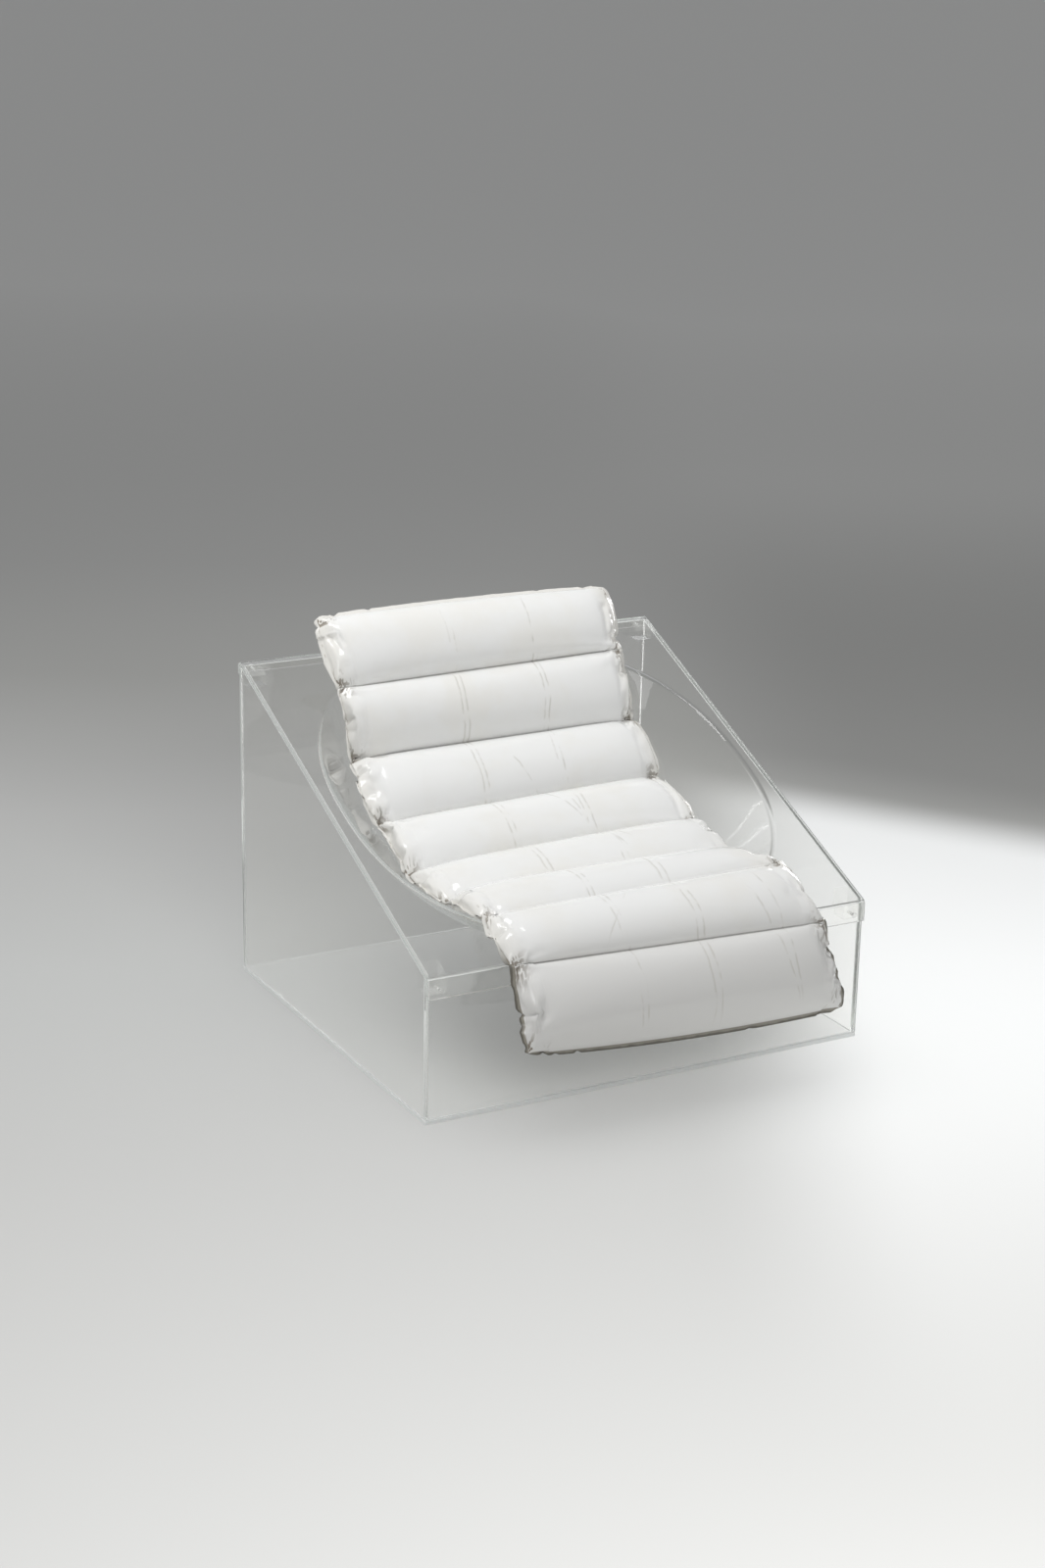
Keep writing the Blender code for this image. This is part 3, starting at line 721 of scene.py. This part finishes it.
def make_cushion_run(name, first, last, materials):
    """The closed skin of a run of channels: two grids of points joined round their edges."""
    shape = bmesh.new()
    down_layer = shape.verts.layers.float.new("down")
    across_layer = shape.verts.layers.float.new("across")
    held_layer = shape.verts.layers.float.new("held")
    slack_layer = shape.verts.layers.float.new("slack")
    weld_layer = shape.verts.layers.float.new("weld")
    rim_layer = shape.verts.layers.float.new("rim")
    head_rows = 1 if first == 1 else 0
    foot_rows = 1 if last == last_seam else 0
    rows = rows_per_channel * (last - first + 1) + head_rows + foot_rows
    rims = []
    for side in (1, -1):
        crown = channel_crown if side > 0 else underside_crown
        old = set(shape.verts)
        bmesh.ops.create_grid(shape, x_segments=columns, y_segments=rows, size=1)
        fresh = [vert for vert in shape.verts if vert not in old]
        if side < 0:
            mine = set(fresh)
            bmesh.ops.reverse_faces(shape, faces=[face for face in shape.faces if face.verts[0] in mine])
        rims.append([
            edge for edge in shape.edges
            if edge.is_boundary and edge.verts[0] not in old and edge.verts[1] not in old
        ])
        for vert in fresh:
            row = round((1 - vert.co.y) / 2 * rows)
            column = round((vert.co.x + 1) / 2 * columns)
            end_side = -1 if head_rows and row == 0 else 1 if foot_rows and row == rows else 0
            # The outermost rows and columns are the margin's own, outside the weld.
            row = min(max(row - head_rows, 0), rows - head_rows - foot_rows)
            index = min(row // rows_per_channel, last - first)
            if row == index * rows_per_channel and index > 0:
                index -= 1
            # From -1 to 1, t runs down the channel and e across it. Both crowd towards the welds.
            t = 2 * row / rows_per_channel - 2 * index - 1
            t = (1 + row_crowding) * t - row_crowding * t ** 3
            margin_side = -1 if column == 0 else 1 if column == columns else 0
            e = 2 * (min(max(column, 1), columns - 1) - 1) / (columns - 2) - 1
            e = (1 + column_crowding) * e - column_crowding * e ** 3
            channel = first + index
            swell = max(0.0, (1 - abs(t) ** crown_power) * (1 - abs(e) ** side_power)) ** roundness
            facing = channel_facing(channel)
            if t > at_edge and channel < last_seam:
                facing = (facing + channel_facing(channel + 1)).normalized()
            elif t < -at_edge and channel > 1:
                facing = (facing + channel_facing(channel - 1)).normalized()
            point = pad_place(channel, t, e, margin_side, end_side)
            if margin_side or end_side:
                wave = noise.noise(Vector((point.x, point.y, point.z)) / edge_wave_length)
                wave_up = noise.noise(Vector((point.z, point.x, point.y)) / edge_wave_length)
                point.x += margin_side * edge_wave * wave
                point += facing * edge_wave * wave_up
            point += facing * side * (sheet_half_thickness + crown * swell)
            if side < 0:
                point = lift_off_lid(point, 0)
            if swell > 0:
                point = part_at_seams(channel, point)
            # A run's two ends at a hinge are held in place, so that its neighbour still meets it.
            at_seam = abs(t) > at_edge
            at_side = abs(e) > at_edge
            at_hinge = at_seam and (
                (channel == first > 1 and t < 0) or (channel == last < last_seam and t > 0)
            )
            vert[down_layer] = channel + (t - 1) / 2
            vert[across_layer] = point.x
            vert[weld_layer] = 1.0 if at_seam or at_side else 0.0
            vert[held_layer] = 1.0 if at_hinge or (at_seam and abs(e) < held_reach) else 0.0
            in_head_corner = channel == 1 and t < head_corner_end
            in_flap_corner = channel == last_seam and t > flap_corner_start
            slack = min(1.0, max(0.0, (abs(e) - slack_start) / slack_run))
            vert[slack_layer] = slack * (outer_corner_slack if in_head_corner or in_flap_corner else 1.0)
            vert[rim_layer] = 1.0 if margin_side or end_side else 0.0
            vert.co = point
    bmesh.ops.bridge_loops(shape, edges=rims[0] + rims[1])
    bmesh.ops.recalc_face_normals(shape, faces=shape.faces)
    for face in shape.faces:
        is_welded = all(vert[weld_layer] > 0.5 for vert in face.verts)
        downs = [vert[down_layer] for vert in face.verts]
        at_end = min(downs) < margin_end_share or max(downs) > last_seam - margin_end_share
        reach = max(abs(vert[across_layer]) for vert in face.verts)
        at_side = reach > seam_half_width(1) - 2 * weld_margin
        face.material_index = 1 if is_welded and (at_end or at_side) else 0
        face.smooth = True
    return add_object(name, shape, materials)


fill_frames = 20
fill_pressure = 3.0
end_slack = -0.13
most_shift_at_ends = 0.009
most_shift_between = 0.0012
seam_rounding = 1e-4


def fill_channels(run):
    """Blows the skin up against its weld lines, so that it puckers as the real filled channels do."""
    mesh = run.data
    held = [i for i, value in enumerate(mesh.attributes["held"].data) if value.value > 0.5]
    welded = [i for i, value in enumerate(mesh.attributes["weld"].data) if value.value > 0.5]
    half_count = len(mesh.vertices) // 2
    at_weld = run.vertex_groups.new(name="held")
    at_weld.add(held, 1.0, "REPLACE")
    slacks = [value.value for value in mesh.attributes["slack"].data]
    taut = run.vertex_groups.new(name="taut")
    for i, slack in enumerate(slacks):
        taut.add([i], 1 - slack, "REPLACE")
    # The skin's two halves have the same order of points, so stitches join each weld point to its partner.
    pairs = [i for i in welded if i < half_count]
    first_stitch = len(mesh.edges)
    mesh.edges.add(len(pairs))
    for offset, i in enumerate(pairs):
        mesh.edges[first_stitch + offset].vertices = (i, i + half_count)
    start = [vert.co.copy() for vert in mesh.vertices]
    cloth = run.modifiers.new("filling", "CLOTH")
    settings = cloth.settings
    settings.quality = 5
    settings.mass = 0.3
    settings.tension_stiffness = 30
    settings.compression_stiffness = 30
    settings.shear_stiffness = 12
    settings.bending_stiffness = 0.25
    settings.tension_damping = 12
    settings.compression_damping = 12
    settings.shear_damping = 12
    settings.use_pressure = True
    settings.uniform_pressure_force = fill_pressure
    settings.use_sewing_springs = True
    settings.sewing_force_max = 4
    settings.vertex_group_shrink = taut.name
    settings.shrink_min = end_slack
    settings.shrink_max = 0.0
    settings.vertex_group_mass = at_weld.name
    settings.effector_weights.gravity = 0
    cloth.collision_settings.use_collision = False
    cloth.point_cache.frame_end = fill_frames
    for moment in range(1, fill_frames + 1):
        bpy.context.scene.frame_set(moment)
    filled = run.evaluated_get(bpy.context.evaluated_depsgraph_get()).data
    places = [vert.co.copy() for vert in filled.vertices]
    run.modifiers.remove(cloth)
    run.vertex_groups.clear()
    bpy.context.scene.frame_set(1)
    downs = [value.value for value in mesh.attributes["down"].data]
    for i, (old, new) in enumerate(zip(start, places)):
        shift = new - old
        most = most_shift_between + (most_shift_at_ends - most_shift_between) * slacks[i]
        if shift.length > most:
            shift *= most / shift.length
        places[i] = old + shift
    for i in pairs:
        channel = min(last_seam, max(1, math.ceil(downs[i] - seam_rounding)))
        facing = channel_facing(channel) * sheet_half_thickness
        middle = (places[i] + places[i + half_count]) / 2
        places[i] = middle + facing
        places[i + half_count] = middle - facing
    is_welded = set(welded)
    for i, vert in enumerate(mesh.vertices):
        place = lift_off_lid(places[i], 0)
        if i not in is_welded:
            place = part_at_seams(math.floor(downs[i]) + 1, place)
        vert.co = place


def drop_stitches(run):
    """Takes the stitches out and notes how hollow the skin is at each point, for the dirt and painted shade
    in its folds.
    """
    shape = bmesh.new()
    shape.from_mesh(run.data)
    loose = [edge for edge in shape.edges if not edge.link_faces]
    bmesh.ops.delete(shape, geom=loose, context="EDGES")
    shape.normal_update()
    hollow_layer = shape.verts.layers.float.new("hollow")
    for vert in shape.verts:
        lengths = [edge.calc_length() for edge in vert.link_edges]
        around = [edge.other_vert(vert).co - vert.co for edge in vert.link_edges]
        mean = sum(around, Vector()) / len(around)
        vert[hollow_layer] = max(0.0, mean.dot(vert.normal)) / (sum(lengths) / len(lengths))
    shape.to_mesh(run.data)
    shape.free()


# Plasticised PVC sheet: glossy white, a little yellowed, with fold lines from storage painted greyer, dust
# and painted shade in its weld lines, and brown dirt and painted shade in the puckers at its ends.
vinyl_white = "#f2f2f0"
vinyl_yellowed = "#eae6db"
# The front channels turn to this greyer tone towards the flap.
vinyl_front_grey = "#dbdad7"
# A dark line along the weld lines: dust, and painted shade in their valleys.
weld_line_dirt_and_shade = "#5b564c"
# Brown in the puckers' hollows: dirt, with painted shade.
pucker_dirt_and_shade = "#64543b"
# The fold lines are painted this greyer tone, besides their bump.
fold_line_grey = "#bfbbb1"
vinyl_roughness = 0.10
vinyl_ior = 1.53
weld_line_reach = 0.0007
crease_half_width = 0.0027
crease_depth = 0.0004
crease_strength = 0.6
# Each fold line: its place across in metres at channel 0, how far it leans per channel, and the channels
# where it starts and ends. It strays a little to both sides, and fades in and out over part of a channel.
fold_lines = (
    (-0.058, -0.0035, 0.1, 8.0), (-0.049, -0.0035, 0.4, 8.0), (0.098, -0.008, 0.0, 8.0),
    (0.106, -0.0075, 0.9, 8.0), (-0.115, 0.047, 2.2, 4.6), (0.012, 0.014, 3.0, 5.0),
    (0.543, -0.094, 6.1, 7.0), (0.02, 0.021, 6.2, 7.9), (0.165, 0.003, 6.1, 7.9),
)
fold_fade = 0.3
fold_stray = 0.012
stray_wave_mm = 55.6
fold_patch_mm = 28.6
stain_mm = 142.9
stain_share = 0.3
end_share = 0.5
# The weld lines' dust and painted shade is darkest at the second: its share there and one channel away from
# it.
darkest_weld = 2.0
most_weld_darkening = 0.8
least_weld_darkening = 0.2
# Metres from a weld line and from the middle, hollowness of the skin, channels down, and tones of patches.
vinyl_zones = {
    "weld_line": (("to_weld", 0.3 * weld_line_reach, weld_line_reach),),
    "ends": (("to_middle", cushion_width / 2 - 0.006, cushion_width / 2 - 0.045),),
    # The puckers' hollows: brown dirt with painted shade.
    "puckers": (
        ("to_middle", cushion_width / 2 - 0.006, cushion_width / 2 - 0.045),
        ("to_weld", 0.004, 0.034), ("hollow", 0.08, 0.015),
    ),
    "fold_patches": (("fold_noise", 0.62, 0.42),),
    "stains": (("stain_noise", 0.68, 0.45),),
    "greyer_front": (("down", 7.6, 6.2),),
}

vinyl, tree = new_material("plasticised_pvc_sheet")
measures = {
    name: add_node(tree, "Attribute", output="Fac", attribute_name=name)
    for name in ("down", "across", "hollow")
}
down = measures["down"]
place = add_node(tree, "TexCoord", output="Object")
measures["fold_noise"] = add_node(
    tree, "TexNoise", {"Vector": place, "Scale": 1000 / fold_patch_mm, "Detail": 2.0}, "Fac",
)
measures["stain_noise"] = add_node(
    tree, "TexNoise", {"Vector": place, "Scale": 1000 / stain_mm, "Detail": 4.0, "Roughness": 0.6}, "Fac",
)
nearest_weld = add_node(tree, "Math", {0: down}, operation="ROUND")
to_weld = add_node(tree, "Math", {0: down, 1: nearest_weld}, operation="SUBTRACT")
to_weld = add_node(tree, "Math", {0: to_weld}, operation="ABSOLUTE")
measures["to_weld"] = add_node(tree, "Math", {0: to_weld, 1: channel_length}, operation="MULTIPLY")
measures["to_middle"] = add_node(tree, "Math", {0: measures["across"]}, operation="ABSOLUTE")
masks = add_masks(tree, measures, vinyl_zones)

stray = add_node(tree, "TexNoise", {"Vector": place, "Scale": 1000 / stray_wave_mm, "Detail": 3.0}, "Fac")
stray = add_node(tree, "Math", {0: stray, 1: 0.5}, operation="SUBTRACT")
straying = add_node(
    tree, "Math", {0: stray, 1: fold_stray, 2: measures["across"]}, operation="MULTIPLY_ADD",
)
fold_zones = {}
for i, (across_start, lean, start, end) in enumerate(fold_lines):
    line = add_node(tree, "Math", {0: down, 1: lean, 2: across_start}, operation="MULTIPLY_ADD")
    off = add_node(tree, "Math", {0: straying, 1: line}, operation="SUBTRACT")
    measures[i] = add_node(tree, "Math", {0: off}, operation="ABSOLUTE")
    fold_zones[i] = (
        (i, 0.0, crease_half_width), ("down", end - fold_fade, end), ("down", start + fold_fade, start),
    )
creases = 0.0
for crease in add_masks(tree, measures, fold_zones).values():
    creases = add_node(tree, "Math", {0: creases, 1: crease}, operation="MAXIMUM")
creases = add_node(tree, "Math", {0: creases, 1: masks["fold_patches"]}, operation="MULTIPLY")

from_darkest = add_node(tree, "Math", {0: down, 1: darkest_weld}, operation="SUBTRACT")
from_darkest = add_node(tree, "Math", {0: from_darkest}, operation="ABSOLUTE")
weld_dirt_and_shade = add_node(tree, "MapRange", {
    "Value": from_darkest, "From Min": 0.1, "From Max": 0.9, "To Min": most_weld_darkening,
    "To Max": least_weld_darkening,
}, interpolation_type="SMOOTHSTEP")
weld_dirt_and_shade = add_node(tree, "Math", {0: weld_dirt_and_shade, 1: masks["weld_line"]}, operation="MULTIPLY")
stained = add_node(tree, "Math", {0: masks["stains"], 1: stain_share}, operation="MULTIPLY")
yellowed = add_node(tree, "Math", {0: masks["ends"], 1: end_share}, operation="MULTIPLY")
yellowed = add_node(tree, "Math", {0: stained, 1: yellowed}, operation="MAXIMUM")

# Layers over the white, from the lowest up: where each lies, how much it covers at most, and its colour.
colour = linear(vinyl_white)
for mask, most, tint in (
    (yellowed, 1.0, vinyl_yellowed), (masks["greyer_front"], 1.0, vinyl_front_grey), (creases, 0.45, fold_line_grey),
    (masks["puckers"], 0.9, pucker_dirt_and_shade), (weld_dirt_and_shade, 1.0, weld_line_dirt_and_shade),
):
    share = add_node(tree, "Math", {0: mask, 1: most}, operation="MULTIPLY")
    colour = add_node(tree, "MixRGB", {"Fac": share, "Color1": colour, "Color2": linear(tint)})
height = add_node(tree, "Math", {0: creases, 1: -1.0}, operation="MULTIPLY")
normal = add_node(tree, "Bump", {"Height": height, "Strength": crease_strength, "Distance": crease_depth})
skin = add_node(tree, "BsdfPrincipled", {
    "Base Color": colour, "Normal": normal, "Roughness": vinyl_roughness, "IOR": vinyl_ior,
})
add_node(tree, "OutputMaterial", {"Surface": skin})

# Welded PVC margin: both sheets melted into one. White at the head, tan along its inner weld line, and
# grey-brown at the front channel, darker at its outer rim.
margin_white = "#eeece6"
margin_weld_line = "#9d9280"
margin_front_grey = "#908c81"
margin_front_rim_grey = "#67635a"
margin_roughness = 0.22
grime_mm = 14.3
grime_share = 0.8
margin_zones = {
    "tan_line": (("rim", 0.15, 0.5), ("grime", 0.7, 0.4), ("down", 0.3, 0.02)),
    "front_margin_rim": (("noisy_rim", 1.1, 0.8),),
    "front_margin": (("down", 7.1, 6.5),),
}
margin, tree = new_material("welded_pvc_margin")
measures = {name: add_node(tree, "Attribute", output="Fac", attribute_name=name) for name in ("down", "rim")}
place = add_node(tree, "TexCoord", output="Object")
measures["grime"] = add_node(
    tree, "TexNoise", {"Vector": place, "Scale": 1000 / grime_mm, "Detail": 3.0}, "Fac",
)
measures["noisy_rim"] = add_node(
    tree, "Math", {0: measures["grime"], 1: grime_share, 2: measures["rim"]}, operation="MULTIPLY_ADD",
)
masks = add_masks(tree, measures, margin_zones)
clean = add_node(tree, "MixRGB", {
    "Fac": masks["tan_line"], "Color1": linear(margin_white), "Color2": linear(margin_weld_line),
})
front_margin = add_node(tree, "MixRGB", {
    "Fac": masks["front_margin_rim"], "Color1": linear(margin_front_grey), "Color2": linear(margin_front_rim_grey),
})
colour = add_node(tree, "MixRGB", {"Fac": masks["front_margin"], "Color1": clean, "Color2": front_margin})
edge = add_node(tree, "BsdfPrincipled", {
    "Base Color": colour, "Roughness": margin_roughness, "IOR": vinyl_ior,
})
add_node(tree, "OutputMaterial", {"Surface": edge})

runs = (
    ("head_channel", 1, 1, "head", "head"),
    ("seat_channels", 2, 7, "seat", "cushion"),
    ("front_channel", 8, 8, "front", "front_flap"),
)
for name, first, last, cover, body_name in runs:
    run = make_cushion_run(name, first, last, [vinyl, margin])
    fill_channels(run)
    drop_stitches(run)
    cores = [f"foam_core_{channel}" for channel in range(first, last + 1)]
    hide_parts(f"cover_top_{cover}", f"cover_under_{cover}", *cores)
    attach(run, body_name)
